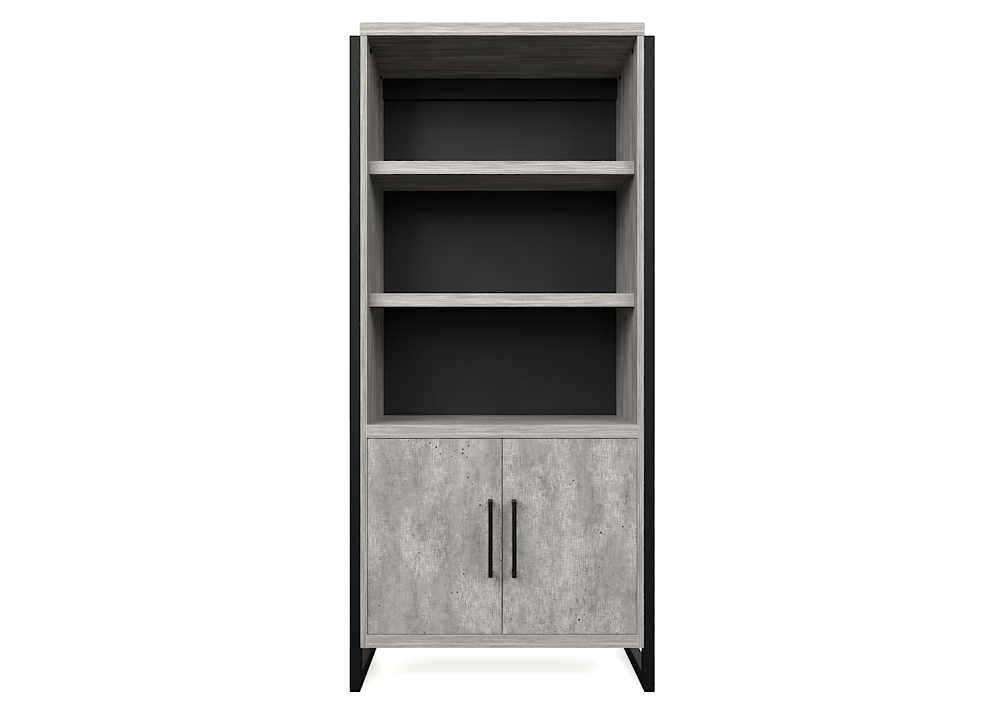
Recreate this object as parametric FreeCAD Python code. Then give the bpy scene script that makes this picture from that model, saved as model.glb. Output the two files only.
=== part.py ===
import FreeCAD, Part
import os

# Bookcase with cabinet doors: a laminated case between two steel sled frames, three open bays
# over a cupboard with two inset pivot doors.
#
# Frame: X to the right, the front faces -Y, Z up.  The origin is on the floor, half way between the
# sides and half way between the handles' fronts and the back.  All lengths are millimetres.

# ---- case ----------------------------------------------------------------------------------------
OVERALL_HEIGHT = 1829.0
CASE_WIDTH = 774.0              # over the two side panels
CASE_DEPTH = 350.0              # front edges to back face
CASE_CLEARANCE = 122.0          # floor to the underside of the case
BOARD = 18.0                    # side panels, loose shelves and back rail
THICK_BOARD = 36.0              # top panel, fixed shelf and bottom panel
TOP_OVERHANG = 1.5              # top panel past the sides and the front
EASE = 0.8                      # rounding of the visible board edges

# ---- clear heights, from the bottom up -----------------------------------------------------------
CUPBOARD_HEIGHT = 537.0         # bottom panel to fixed shelf
LOWER_BAY_HEIGHT = 325.0        # fixed shelf to the lower shelf's front edge
MIDDLE_BAY_HEIGHT = 332.0       # lower shelf to the upper shelf's front edge
CUPBOARD_SHELF_RISE = 275.0     # cupboard floor to the top of its shelf

# ---- loose shelves -------------------------------------------------------------------------------
NOSING_HEIGHT = 36.0            # deep front edge under each open shelf
NOSING_DEPTH = 18.0
SHELF_SETBACK = 38.0            # case front to nosing front
SHELF_END_GAP = 1.0             # each end
SHELF_BACK_GAP = 1.0
CUPBOARD_SHELF_SETBACK = 45.0
PIN_DIAMETER = 5.0
PIN_IN_PANEL = 10.0
PIN_STICKOUT = 9.0
PIN_SEAT = 1.5                  # flat seat above the pin's axis
PIN_FRONT_INSET = 80.0          # case front to the front pins
PIN_BACK_INSET = 50.0           # case back to the rear pins

# ---- back ----------------------------------------------------------------------------------------
BACK_THICKNESS = 5.0
REBATE_WIDTH = 9.0              # rebate in the side panels' back edges
REBATE_GAP = 0.5
BACK_LIP = 4.0                  # case underside to the back panel's lower edge
RAIL_HEIGHT = 65.0
BACK_SCREW_DIAMETER = 3.2
BACK_SCREW_LENGTH = 20.0
BACK_SCREW_COUNT = 8            # along each side panel
BACK_SCREW_END = 60.0           # first and last screw from the panel's ends
BACK_SCREW_SPREAD = 200.0       # centre screw to its neighbours along a board

# ---- dowels --------------------------------------------------------------------------------------
DOWEL_DIAMETER = 8.0
DOWEL_IN_SIDE = 10.0
DOWEL_IN_BOARD = 20.0
DOWEL_FRONT_INSET = 35.0        # case front to the first dowel, with one half way to the last
DOWEL_BACK_INSET = 45.0         # case back to the last dowel
RAIL_DOWEL_INSET = 16.0         # from the rail's top and bottom edges

# ---- sled frames ---------------------------------------------------------------------------------
TUBE_WIDTH = 30.0               # across the frame
TUBE_DEPTH = 40.0               # legs front to back, bars from top to bottom
TUBE_WALL = 1.5
TUBE_CORNER = 2.0
GLIDE_THICKNESS = 2.0
GLIDE_DIAMETER = 22.0
GLIDE_STEM_DIAMETER = 8.0
GLIDE_STEM_LENGTH = 7.0
GLIDE_INSET = 45.0              # frame end to the glide
GLIDE_EASE = 0.6

# ---- frame bolts and inserts ---------------------------------------------------------------------
BOLT_DIAMETER = 6.0
BOLT_HOLE = 6.6
BOLT_GRIP = 13.0                # bolt length inside the tube
BOLT_HEAD_DIAMETER = 14.0
BOLT_HEAD_HEIGHT = 3.5
BOLT_HEAD_EASE = 1.2
FLAT_HEAD_DIAMETER = 12.0
SOCKET_WIDTH = 4.0              # hexagon across flats
SOCKET_DEPTH = 2.2
TOP_BOLT_FRONT_INSET = 64.0
TOP_BOLT_BACK_INSET = 76.0
TOP_BOLT_DROP = 18.0            # below the top panel
LEG_BOLT_INSET = 95.0           # from the cupboard's floor and ceiling
INSERT_DIAMETER = 9.0
INSERT_LENGTH = 14.0
INSERT_BULGE_DIAMETER = 12.0
INSERT_BULGE_LENGTH = 3.0

# ---- doors ---------------------------------------------------------------------------------------
DOOR_THICKNESS = 18.0
DOOR_SIDE_GAP = 1.8
DOOR_CENTRE_GAP = 2.5
DOOR_TOP_GAP = 2.5
DOOR_BOTTOM_GAP = 2.0

# ---- door pivots ---------------------------------------------------------------------------------
PIVOT_INSET = 15.0              # side panel's inner face to the pivot axis
PIVOT_SETBACK = 5.5             # case front to the pivot axis
PIVOT_PIN_DIAMETER = 4.0
PIVOT_PIN_REACH = 10.0          # pin inside the door
PIVOT_HEAD_DIAMETER = 7.0
PIVOT_HEAD_HEIGHT = 1.0
BUSHING_WALL = 1.0
BUSHING_FLANGE_DIAMETER = 7.6
BUSHING_FLANGE = 0.4
PIVOT_PLATE_THICKNESS = 1.5
PIVOT_PLATE_WIDTH = 8.0
PIVOT_PLATE_NEAR = 8.0          # axis to the plate's end at the side panel
PIVOT_PLATE_FAR = 38.0          # axis to the plate's other end
PIVOT_SCREWS = (16.0, 30.0)     # axis to the screws
PIVOT_SCREW_DIAMETER = 3.0
PIVOT_SCREW_LENGTH = 14.0

# ---- magnetic catches ----------------------------------------------------------------------------
CATCH_OFFSET = 62.0             # centre line to the middle of each catch
CATCH_WIDTH = 46.0
CATCH_DEPTH = 15.0
CATCH_HEIGHT = 14.0
CATCH_GAP = 0.3
MAGNET_WIDTH = 24.0
MAGNET_DEPTH = 8.0
MAGNET_HEIGHT = 8.0
CATCH_SCREW_SPACING = 36.0
CATCH_SCREW_DIAMETER = 3.0
CATCH_SCREW_LENGTH = 24.0
STRIKE_WIDTH = 34.0
STRIKE_HEIGHT = 11.0
STRIKE_THICKNESS = 1.0
STRIKE_SCREW_LENGTH = 12.0

# ---- handles -------------------------------------------------------------------------------------
HANDLE_BAR = 12.0               # square bar
HANDLE_CENTRES = 192.0
HANDLE_PROJECTION = 40.0
HANDLE_OFFSET = 32.0            # centre line to the bar's middle
HANDLE_EASE = 0.8
HANDLE_SCREW_DIAMETER = 4.0
HANDLE_SCREW_HOLE = 5.0
HANDLE_SCREW_REACH = 10.0       # screw inside the handle's leg
HANDLE_SCREW_HEAD_DIAMETER = 8.5
HANDLE_SCREW_HEAD_HEIGHT = 2.5
HANDLE_SCREW_EASE = 0.8

# ---- fits ----------------------------------------------------------------------------------------
FIT = 0.05                      # radial clearance round pins, dowels and screws
BOTTOMING = 0.5                 # space past the end of a pin, dowel or screw
SEAT_GAP = 0.1                  # round a plate or magnet in its recess

# ---- derived places ------------------------------------------------------------------------------
FRONT = (HANDLE_PROJECTION - CASE_DEPTH) / 2
BACK = FRONT + CASE_DEPTH
BACK_FACE = BACK - BACK_THICKNESS
SIDE_OUTER = CASE_WIDTH / 2
SIDE_INNER = SIDE_OUTER - BOARD
TUBE_OUTER = SIDE_OUTER + TUBE_WIDTH
DOWEL_ROWS = (
    FRONT + DOWEL_FRONT_INSET,
    (FRONT + DOWEL_FRONT_INSET + BACK - DOWEL_BACK_INSET) / 2,
    BACK - DOWEL_BACK_INSET)
PIN_ROWS = (FRONT + PIN_FRONT_INSET, BACK - PIN_BACK_INSET)
TOP_BOLT_ROWS = (FRONT + TOP_BOLT_FRONT_INSET, BACK - TOP_BOLT_BACK_INSET)
CASE_BOTTOM = CASE_CLEARANCE
CUPBOARD_FLOOR = CASE_BOTTOM + THICK_BOARD
CUPBOARD_CEILING = CUPBOARD_FLOOR + CUPBOARD_HEIGHT
FIXED_SHELF_TOP = CUPBOARD_CEILING + THICK_BOARD
BOTTOM_PANEL_MIDDLE = CASE_BOTTOM + THICK_BOARD / 2
FIXED_SHELF_MIDDLE = CUPBOARD_CEILING + THICK_BOARD / 2
LOWER_SHELF_TOP = FIXED_SHELF_TOP + LOWER_BAY_HEIGHT + NOSING_HEIGHT
UPPER_SHELF_TOP = LOWER_SHELF_TOP + MIDDLE_BAY_HEIGHT + NOSING_HEIGHT
CUPBOARD_SHELF_TOP = CUPBOARD_FLOOR + CUPBOARD_SHELF_RISE
TOP_UNDERSIDE = OVERALL_HEIGHT - THICK_BOARD
RAIL_FRONT = BACK_FACE - BOARD
RAIL_BOTTOM = TOP_UNDERSIDE - RAIL_HEIGHT
TOP_BOLT_HEIGHT = TOP_UNDERSIDE - TOP_BOLT_DROP
LEG_BOLT_HEIGHTS = (CUPBOARD_FLOOR + LEG_BOLT_INSET, CUPBOARD_CEILING - LEG_BOLT_INSET)
DOOR_BOTTOM = CUPBOARD_FLOOR + DOOR_BOTTOM_GAP
DOOR_TOP = CUPBOARD_CEILING - DOOR_TOP_GAP
DOOR_OUTER = SIDE_INNER - DOOR_SIDE_GAP
DOOR_INNER = DOOR_CENTRE_GAP / 2
DOOR_BACK = FRONT + DOOR_THICKNESS
HANDLE_MIDDLE = (DOOR_BOTTOM + DOOR_TOP) / 2
PIVOT_X = SIDE_INNER - PIVOT_INSET
PIVOT_Y = FRONT + PIVOT_SETBACK

LEFT, RIGHT, FORWARD, REARWARD, DOWN, UP = (
    FreeCAD.Vector(*d) for d in ((-1, 0, 0), (1, 0, 0), (0, -1, 0), (0, 1, 0), (0, 0, -1), (0, 0, 1)))


# ---- small tools ---------------------------------------------------------------------------------
def box(x, y, z):
    """Box between two values along each axis."""
    return Part.makeBox(x[1] - x[0], y[1] - y[0], z[1] - z[0], FreeCAD.Vector(x[0], y[0], z[0]))


def rod(diameter, start, way, length, backward=0.0):
    """Round rod from a start point, optionally begun some way behind it."""
    start = FreeCAD.Vector(*start) - way * backward
    return Part.makeCylinder(diameter / 2, length + backward, start, way)


def cone(mouth, throat, start, way):
    """90 degree countersink or flat screw head, widest at its start."""
    return Part.makeCone(mouth / 2, throat / 2, (mouth - throat) / 2, FreeCAD.Vector(*start), way)


def cut(shape, tools):
    """Shape less a list of tools."""
    return shape.cut(Part.makeCompound(tools)) if tools else shape


def join(first, *others):
    """One clean solid from pieces that touch or overlap."""
    return first.multiFuse(list(others)).removeSplitter()


def mirror_x(shape):
    return shape.mirror(FreeCAD.Vector(0, 0, 0), RIGHT)


def both_sides(shapes):
    """Shapes of the right side with their mirror images."""
    return list(shapes) + [mirror_x(s) for s in shapes]


def direction_of(edge):
    """Unit vector along a straight edge, or zero for a closed one."""
    span = edge.lastVertex().Point - edge.firstVertex().Point
    return span.normalize() if span.Length > 0 else span


def ease(shape, radius, wanted):
    """Round the edges that a test picks by their middle and their direction."""
    picked = [edge for edge in shape.Edges if wanted(edge.CenterOfMass, direction_of(edge))]
    return shape.makeFillet(radius, picked)


def near(value, target):
    return abs(value - target) < 1e-6


def write(name, *solids):
    """One STEP file a node; a group of like pieces stays separate solids."""
    shape = solids[0] if len(solids) == 1 else Part.makeCompound(list(solids))
    for solid in shape.Solids:
        assert solid.isValid(), name
    shape.exportStep("parts/" + name + ".step")


def write_pair(name, *right_solids):
    """Right-hand node and its mirror image."""
    write("right_" + name, *right_solids)
    write("left_" + name, *[mirror_x(s) for s in right_solids])


def flat_screw(diameter, start, way, length):
    """Countersunk wood screw, head flush with its start."""
    return join(cone(2 * diameter, diameter, start, way), rod(diameter, start, way, length))


def flat_screw_hole(diameter, start, way, length):
    """Pilot hole and countersink for a flat_screw."""
    sink = cone(2 * diameter + 2 * FIT, diameter, start, way)
    return join(sink, rod(diameter + 2 * FIT, start, way, length + BOTTOMING))


def hexagon(across, start, way, depth):
    """Hexagon socket tool."""
    corner = FreeCAD.Vector(0, across / 3 ** 0.5, 0)
    outline = Part.makePolygon([FreeCAD.Rotation(UP, 60 * k).multVec(corner) for k in range(7)])
    prism = Part.Face(outline).extrude(UP * depth)
    prism.Placement = FreeCAD.Placement(FreeCAD.Vector(*start), FreeCAD.Rotation(UP, way))
    return prism


# ---- dowels --------------------------------------------------------------------------------------
def dowel(start, way, ahead, behind):
    """Dowel across a joint plane, and the hole it sits in."""
    pin = rod(DOWEL_DIAMETER, start, way, ahead - BOTTOMING, behind - BOTTOMING)
    hole = rod(DOWEL_DIAMETER + 2 * FIT, start, way, ahead, behind)
    return pin, hole


def board_dowels(z):
    """Right-hand dowels of a thick board whose middle is at height z."""
    return [dowel((SIDE_INNER, y, z), RIGHT, DOWEL_IN_SIDE, DOWEL_IN_BOARD) for y in DOWEL_ROWS]


def top_dowels():
    middle = (SIDE_INNER + SIDE_OUTER) / 2
    return [dowel((middle, y, TOP_UNDERSIDE), UP, DOWEL_IN_BOARD, DOWEL_IN_BOARD) for y in DOWEL_ROWS]


def rail_dowels():
    middle = RAIL_FRONT + BOARD / 2
    heights = (RAIL_BOTTOM + RAIL_DOWEL_INSET, TOP_UNDERSIDE - RAIL_DOWEL_INSET)
    return [dowel((SIDE_INNER, middle, z), RIGHT, DOWEL_IN_SIDE, DOWEL_IN_BOARD) for z in heights]


# ---- shelf pins ----------------------------------------------------------------------------------
def shelf_pins(underside):
    """Right-hand pins under a shelf, each with a flat seat, and their holes."""
    axis = underside - PIN_SEAT
    pins, holes = [], []
    for y in PIN_ROWS:
        start = (SIDE_INNER, y, axis)
        plug = rod(PIN_DIAMETER, start, RIGHT, PIN_IN_PANEL - BOTTOMING)
        seat = rod(PIN_DIAMETER, start, LEFT, PIN_STICKOUT)
        above = box((SIDE_INNER - PIN_STICKOUT, SIDE_INNER),
                    (y - PIN_DIAMETER, y + PIN_DIAMETER),
                    (underside, underside + PIN_DIAMETER))
        pins.append(join(plug, seat.cut(above)))
        holes.append(rod(PIN_DIAMETER + 2 * FIT, start, RIGHT, PIN_IN_PANEL))
    return pins, holes


# ---- frame bolts ---------------------------------------------------------------------------------
def pan_bolt(start):
    """Socket button bolt through the right side panel, its head against the inner face."""
    head = ease(rod(BOLT_HEAD_DIAMETER, start, LEFT, BOLT_HEAD_HEIGHT), BOLT_HEAD_EASE,
                lambda middle, direction: near(middle.x, start[0] - BOLT_HEAD_HEIGHT))
    face = (start[0] - BOLT_HEAD_HEIGHT, start[1], start[2])
    bolt = join(head, rod(BOLT_DIAMETER, start, RIGHT, BOARD + BOLT_GRIP))
    return bolt.cut(hexagon(SOCKET_WIDTH, face, RIGHT, SOCKET_DEPTH))


def flat_bolt(start):
    """Countersunk bolt, flush with the inner face, where the closed door's edge passes."""
    bolt = join(cone(FLAT_HEAD_DIAMETER, BOLT_DIAMETER, start, RIGHT),
                rod(BOLT_DIAMETER, start, RIGHT, BOARD + BOLT_GRIP))
    return bolt.cut(hexagon(SOCKET_WIDTH, start, RIGHT, SOCKET_DEPTH))


def insert(start):
    """Threaded rivet insert set in the tube wall that faces the side panel."""
    at_tube = (SIDE_OUTER, start[1], start[2])
    behind_wall = (SIDE_OUTER + TUBE_WALL, start[1], start[2])
    body = join(rod(INSERT_DIAMETER, at_tube, RIGHT, INSERT_LENGTH),
                rod(INSERT_BULGE_DIAMETER, behind_wall, RIGHT, INSERT_BULGE_LENGTH))
    return body.cut(rod(BOLT_DIAMETER + 2 * FIT, at_tube, RIGHT, INSERT_LENGTH))


PAN_BOLT_PLACES = (
    [(SIDE_INNER, y, TOP_BOLT_HEIGHT) for y in TOP_BOLT_ROWS]
    + [(SIDE_INNER, BACK - TUBE_DEPTH / 2, z) for z in LEG_BOLT_HEIGHTS])
FLAT_BOLT_PLACES = [(SIDE_INNER, FRONT + TUBE_DEPTH / 2, z) for z in LEG_BOLT_HEIGHTS]
BOLT_PLACES = PAN_BOLT_PLACES + FLAT_BOLT_PLACES


def bolt_holes():
    """Clearance holes and countersinks in the right side panel."""
    holes = [rod(BOLT_HOLE, p, RIGHT, BOARD) for p in BOLT_PLACES]
    return holes + [cone(FLAT_HEAD_DIAMETER + 2 * FIT, BOLT_DIAMETER, p, RIGHT) for p in FLAT_BOLT_PLACES]


# ---- back screws ---------------------------------------------------------------------------------
def back_screw_places():
    """Screws along both side panels, and across the bottom panel, fixed shelf and back rail."""
    first = CASE_BOTTOM + BACK_SCREW_END
    step = (TOP_UNDERSIDE - BACK_SCREW_END - first) / (BACK_SCREW_COUNT - 1)
    side = SIDE_INNER + REBATE_WIDTH / 2
    places = [(s * side, BACK, first + k * step) for s in (-1, 1) for k in range(BACK_SCREW_COUNT)]
    for z in (BOTTOM_PANEL_MIDDLE, FIXED_SHELF_MIDDLE, RAIL_BOTTOM + RAIL_HEIGHT / 2):
        places += [(k * BACK_SCREW_SPREAD, BACK, z) for k in (-1, 0, 1)]
    return places


def back_screw_holes():
    return [flat_screw_hole(BACK_SCREW_DIAMETER, p, FORWARD, BACK_SCREW_LENGTH) for p in back_screw_places()]


# ---- door pivots ---------------------------------------------------------------------------------
def pivot_plate(face, holes):
    """Plate along the door's edge, from one face upward, less its holes."""
    plate = box((PIVOT_X - PIVOT_PLATE_FAR, PIVOT_X + PIVOT_PLATE_NEAR),
                (PIVOT_Y - PIVOT_PLATE_WIDTH / 2, PIVOT_Y + PIVOT_PLATE_WIDTH / 2),
                (face, face + PIVOT_PLATE_THICKNESS))
    return cut(plate, holes)


def pivot_set(gap):
    """Right-hand pivot under a door: pieces and hollows, with the case's face at height zero."""
    axis = (PIVOT_X, PIVOT_Y, 0)
    bore = PIVOT_PIN_DIAMETER + 2 * FIT
    sleeve = bore + 2 * BUSHING_WALL
    top_of_plate = PIVOT_PLATE_THICKNESS
    case_screws = [((PIVOT_X - d, PIVOT_Y, top_of_plate), DOWN) for d in PIVOT_SCREWS]
    door_screws = [((PIVOT_X - d, PIVOT_Y, gap), UP) for d in PIVOT_SCREWS]
    holes = [flat_screw_hole(PIVOT_SCREW_DIAMETER, p, w, PIVOT_SCREW_LENGTH) for p, w in case_screws]
    door_holes = [flat_screw_hole(PIVOT_SCREW_DIAMETER, p, w, PIVOT_SCREW_LENGTH) for p, w in door_screws]
    in_door = (PIVOT_X, PIVOT_Y, gap)
    length = PIVOT_PIN_REACH + BOTTOMING
    bushing = join(rod(BUSHING_FLANGE_DIAMETER, in_door, DOWN, BUSHING_FLANGE),
                   rod(sleeve, in_door, UP, length))
    bushing = bushing.cut(rod(bore, in_door, UP, length, BUSHING_FLANGE))
    socket = rod(sleeve + 2 * FIT, in_door, UP, length)
    mortise = pivot_plate(gap, [])
    pin = join(rod(PIVOT_HEAD_DIAMETER, axis, DOWN, PIVOT_HEAD_HEIGHT),
               rod(PIVOT_PIN_DIAMETER, axis, UP, gap + PIVOT_PIN_REACH))
    head_room = rod(PIVOT_HEAD_DIAMETER + 2 * FIT, axis, DOWN, PIVOT_HEAD_HEIGHT + BOTTOMING)
    return {
        "case_plate": pivot_plate(0, holes + [rod(PIVOT_PIN_DIAMETER + 2 * FIT, axis, UP, top_of_plate)]),
        "pin": pin,
        "door_plate": pivot_plate(gap, door_holes + [socket]),
        "bushing": bushing,
        "case_screws": [flat_screw(PIVOT_SCREW_DIAMETER, p, w, PIVOT_SCREW_LENGTH) for p, w in case_screws],
        "door_screws": [flat_screw(PIVOT_SCREW_DIAMETER, p, w, PIVOT_SCREW_LENGTH) for p, w in door_screws],
        "case_hollows": holes + [head_room],
        "door_hollows": door_holes + [socket, mortise],
    }


def lower_pivot(key):
    """Pieces of the pivot that stands on the cupboard floor."""
    pieces = pivot_set(DOOR_BOTTOM_GAP)[key]
    pieces = pieces if isinstance(pieces, list) else [pieces]
    return [p.translated(UP * CUPBOARD_FLOOR) for p in pieces]


def upper_pivot(key):
    """Pieces of the pivot that hangs from the cupboard ceiling, upside down."""
    pieces = pivot_set(DOOR_TOP_GAP)[key]
    pieces = pieces if isinstance(pieces, list) else [pieces]
    return [p.mirror(FreeCAD.Vector(0, 0, 0), UP).translated(UP * CUPBOARD_CEILING) for p in pieces]


def pivots(key):
    return lower_pivot(key) + upper_pivot(key)


# ---- catches -------------------------------------------------------------------------------------
CATCH_FRONT = DOOR_BACK + STRIKE_THICKNESS + CATCH_GAP
CATCH_MIDDLE = CATCH_FRONT + CATCH_DEPTH / 2
CATCH_SCREW_PLACES = [
    (CATCH_OFFSET + k * CATCH_SCREW_SPACING / 2, CATCH_MIDDLE, CUPBOARD_CEILING - CATCH_HEIGHT)
    for k in (-1, 1)]
STRIKE_MIDDLE = DOOR_TOP - STRIKE_HEIGHT / 2 - EASE


def catch_screw_holes():
    return [flat_screw_hole(CATCH_SCREW_DIAMETER, p, UP, CATCH_SCREW_LENGTH) for p in CATCH_SCREW_PLACES]


def magnet():
    middle = CUPBOARD_CEILING - CATCH_HEIGHT / 2
    return box((CATCH_OFFSET - MAGNET_WIDTH / 2, CATCH_OFFSET + MAGNET_WIDTH / 2),
               (CATCH_FRONT, CATCH_FRONT + MAGNET_DEPTH),
               (middle - MAGNET_HEIGHT / 2, middle + MAGNET_HEIGHT / 2))


def catch_housing():
    block = box((CATCH_OFFSET - CATCH_WIDTH / 2, CATCH_OFFSET + CATCH_WIDTH / 2),
                (CATCH_FRONT, CATCH_FRONT + CATCH_DEPTH),
                (CUPBOARD_CEILING - CATCH_HEIGHT, CUPBOARD_CEILING))
    block = ease(block, EASE, lambda middle, direction: near(middle.z, CUPBOARD_CEILING - CATCH_HEIGHT))
    return cut(block, [magnet()] + catch_screw_holes())


def strike_screw_place():
    return (CATCH_OFFSET, DOOR_BACK + STRIKE_THICKNESS, STRIKE_MIDDLE)


def strike_plate():
    plate = box((CATCH_OFFSET - STRIKE_WIDTH / 2, CATCH_OFFSET + STRIKE_WIDTH / 2),
                (DOOR_BACK, DOOR_BACK + STRIKE_THICKNESS),
                (STRIKE_MIDDLE - STRIKE_HEIGHT / 2, STRIKE_MIDDLE + STRIKE_HEIGHT / 2))
    return cut(plate, [strike_screw_hole()])


def strike_screw_hole():
    return flat_screw_hole(CATCH_SCREW_DIAMETER, strike_screw_place(), FORWARD, STRIKE_SCREW_LENGTH)


# ---- case boards ---------------------------------------------------------------------------------
def top_panel():
    """Thick top board that lies on the side panels and the frames' edges."""
    board = box((-SIDE_OUTER - TOP_OVERHANG, SIDE_OUTER + TOP_OVERHANG), (FRONT - TOP_OVERHANG, BACK),
                (TOP_UNDERSIDE, OVERALL_HEIGHT))
    board = ease(board, EASE, lambda middle, direction: True)
    return cut(board, both_sides([hole for pin, hole in top_dowels()]))


def thick_board(bottom, hollows):
    """Fixed shelf or bottom panel between the side panels, flush with the case's front."""
    board = box((-SIDE_INNER, SIDE_INNER), (FRONT, BACK_FACE), (bottom, bottom + THICK_BOARD))
    board = ease(board, EASE,
                 lambda middle, direction: near(middle.y, FRONT) and abs(direction.x) > 0.99)
    dowel_holes = [hole for pin, hole in board_dowels(bottom + THICK_BOARD / 2)]
    return cut(board, both_sides(dowel_holes + hollows) + back_screw_holes())


def side_panel():
    """Right side panel: rebated for the back, bored for dowels, pins, bolts and screws."""
    panel = box((SIDE_INNER, SIDE_OUTER), (FRONT, BACK), (CASE_BOTTOM, TOP_UNDERSIDE))
    panel = ease(panel, EASE, lambda middle, direction: near(middle.y, FRONT) and abs(direction.z) > 0.99)
    rebate = box((SIDE_INNER - BOARD, SIDE_INNER + REBATE_WIDTH), (BACK_FACE, BACK + BOARD),
                 (CASE_BOTTOM + BACK_LIP - REBATE_GAP, TOP_UNDERSIDE + BOARD))
    dowels = board_dowels(BOTTOM_PANEL_MIDDLE) + board_dowels(FIXED_SHELF_MIDDLE)
    dowel_holes = [hole for pin, hole in dowels + top_dowels() + rail_dowels()]
    pin_holes = [hole for top in (LOWER_SHELF_TOP, UPPER_SHELF_TOP, CUPBOARD_SHELF_TOP)
                 for hole in shelf_pins(top - BOARD)[1]]
    return cut(panel, [rebate] + dowel_holes + pin_holes + bolt_holes() + back_screw_holes())


def back_panel():
    half = SIDE_INNER + REBATE_WIDTH - REBATE_GAP
    panel = box((-half, half), (BACK_FACE, BACK), (CASE_BOTTOM + BACK_LIP, TOP_UNDERSIDE - REBATE_GAP))
    return cut(panel, back_screw_holes())


def back_rail():
    rail = box((-SIDE_INNER, SIDE_INNER), (RAIL_FRONT, BACK_FACE), (RAIL_BOTTOM, TOP_UNDERSIDE))
    rail = ease(rail, EASE, lambda middle, direction: near(middle.y, RAIL_FRONT)
                and near(middle.z, RAIL_BOTTOM) and abs(direction.x) > 0.99)
    return cut(rail, both_sides([hole for pin, hole in rail_dowels()]) + back_screw_holes())


def loose_shelf(top, setback):
    """Board of a loose shelf, from its setback to just short of the back panel."""
    half = SIDE_INNER - SHELF_END_GAP
    return box((-half, half), (FRONT + setback, BACK_FACE - SHELF_BACK_GAP), (top - BOARD, top))


def nosing(top):
    """Deep front edge glued to an open shelf's board."""
    half = SIDE_INNER - SHELF_END_GAP
    strip = box((-half, half), (FRONT + SHELF_SETBACK, FRONT + SHELF_SETBACK + NOSING_DEPTH),
                (top - NOSING_HEIGHT, top))
    return ease(strip, EASE, lambda middle, direction: near(middle.y, FRONT + SHELF_SETBACK))


# ---- sled frame ----------------------------------------------------------------------------------
def box_tube(y, z, lengthwise):
    """Hollow box tube over the right frame's width, between two values of Y and of Z."""
    def bar(inset, radius):
        y_inset, z_inset = (0, inset) if lengthwise == REARWARD else (inset, 0)
        blank = box((SIDE_OUTER + inset, TUBE_OUTER - inset),
                    (y[0] + y_inset, y[1] - y_inset), (z[0] + z_inset, z[1] - z_inset))
        return ease(blank, radius, lambda middle, direction: abs(direction.dot(lengthwise)) > 0.99)
    return bar(0, TUBE_CORNER).cut(bar(TUBE_WALL, TUBE_CORNER - TUBE_WALL))


def mitre_block(points):
    """Prism over the frame's width from an outline in the YZ plane."""
    corners = [FreeCAD.Vector(SIDE_OUTER, y, z) for y, z in points + points[:1]]
    return Part.Face(Part.makePolygon(corners)).extrude(RIGHT * TUBE_WIDTH)


def frame_tubes():
    """The right frame's four mitred tubes: a closed loop that stands on its foot bar."""
    low, high = GLIDE_THICKNESS, TOP_UNDERSIDE
    front_leg, rear_leg = (FRONT, FRONT + TUBE_DEPTH), (BACK - TUBE_DEPTH, BACK)
    foot_bar, top_bar = (low, low + TUBE_DEPTH), (high - TUBE_DEPTH, high)
    outer = [(FRONT, low), (BACK, low), (BACK, high), (FRONT, high)]
    inner = [(front_leg[1], foot_bar[1]), (rear_leg[0], foot_bar[1]),
             (rear_leg[0], top_bar[0]), (front_leg[1], top_bar[0])]
    tubes = {
        "frame_foot_bar": (box_tube((FRONT, BACK), foot_bar, REARWARD), 0),
        "frame_rear_leg": (box_tube(rear_leg, (low, high), UP), 1),
        "frame_top_bar": (box_tube((FRONT, BACK), top_bar, REARWARD), 2),
        "frame_front_leg": (box_tube(front_leg, (low, high), UP), 3),
    }
    holes = [rod(INSERT_DIAMETER + 2 * FIT, (SIDE_OUTER, p[1], p[2]), RIGHT, TUBE_WALL) for p in BOLT_PLACES]
    holes += [rod(GLIDE_STEM_DIAMETER + 2 * FIT, p, UP, GLIDE_THICKNESS + TUBE_WALL) for p in GLIDE_PLACES]
    for name, (tube, k) in tubes.items():
        after = (k + 1) % 4
        block = mitre_block([outer[k], outer[after], inner[after], inner[k]])
        write_pair(name, cut(tube.common(block), holes))


GLIDE_PLACES = [(SIDE_OUTER + TUBE_WIDTH / 2, y, 0) for y in (FRONT + GLIDE_INSET, BACK - GLIDE_INSET)]


def glide(place):
    """Push-in foot glide with its stem in the foot bar."""
    pad = rod(GLIDE_DIAMETER, place, UP, GLIDE_THICKNESS)
    pad = ease(pad, GLIDE_EASE, lambda middle, direction: near(middle.z, 0))
    stem = rod(GLIDE_STEM_DIAMETER, place, UP, GLIDE_THICKNESS + GLIDE_STEM_LENGTH)
    return join(pad, stem)


# ---- doors ---------------------------------------------------------------------------------------
HANDLE_ENDS = [HANDLE_MIDDLE + k * HANDLE_CENTRES / 2 for k in (-1, 1)]


def door():
    """Right inset door: mortised for its pivots and bored for its handle and strike."""
    slab = box((DOOR_INNER, DOOR_OUTER), (FRONT, DOOR_BACK), (DOOR_BOTTOM, DOOR_TOP))
    slab = ease(slab, EASE, lambda middle, direction: True)
    handle_holes = [rod(HANDLE_SCREW_HOLE, (HANDLE_OFFSET, FRONT, z), REARWARD, DOOR_THICKNESS)
                    for z in HANDLE_ENDS]
    return cut(slab, pivots("door_hollows") + [strike_screw_hole()] + handle_holes)


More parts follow.
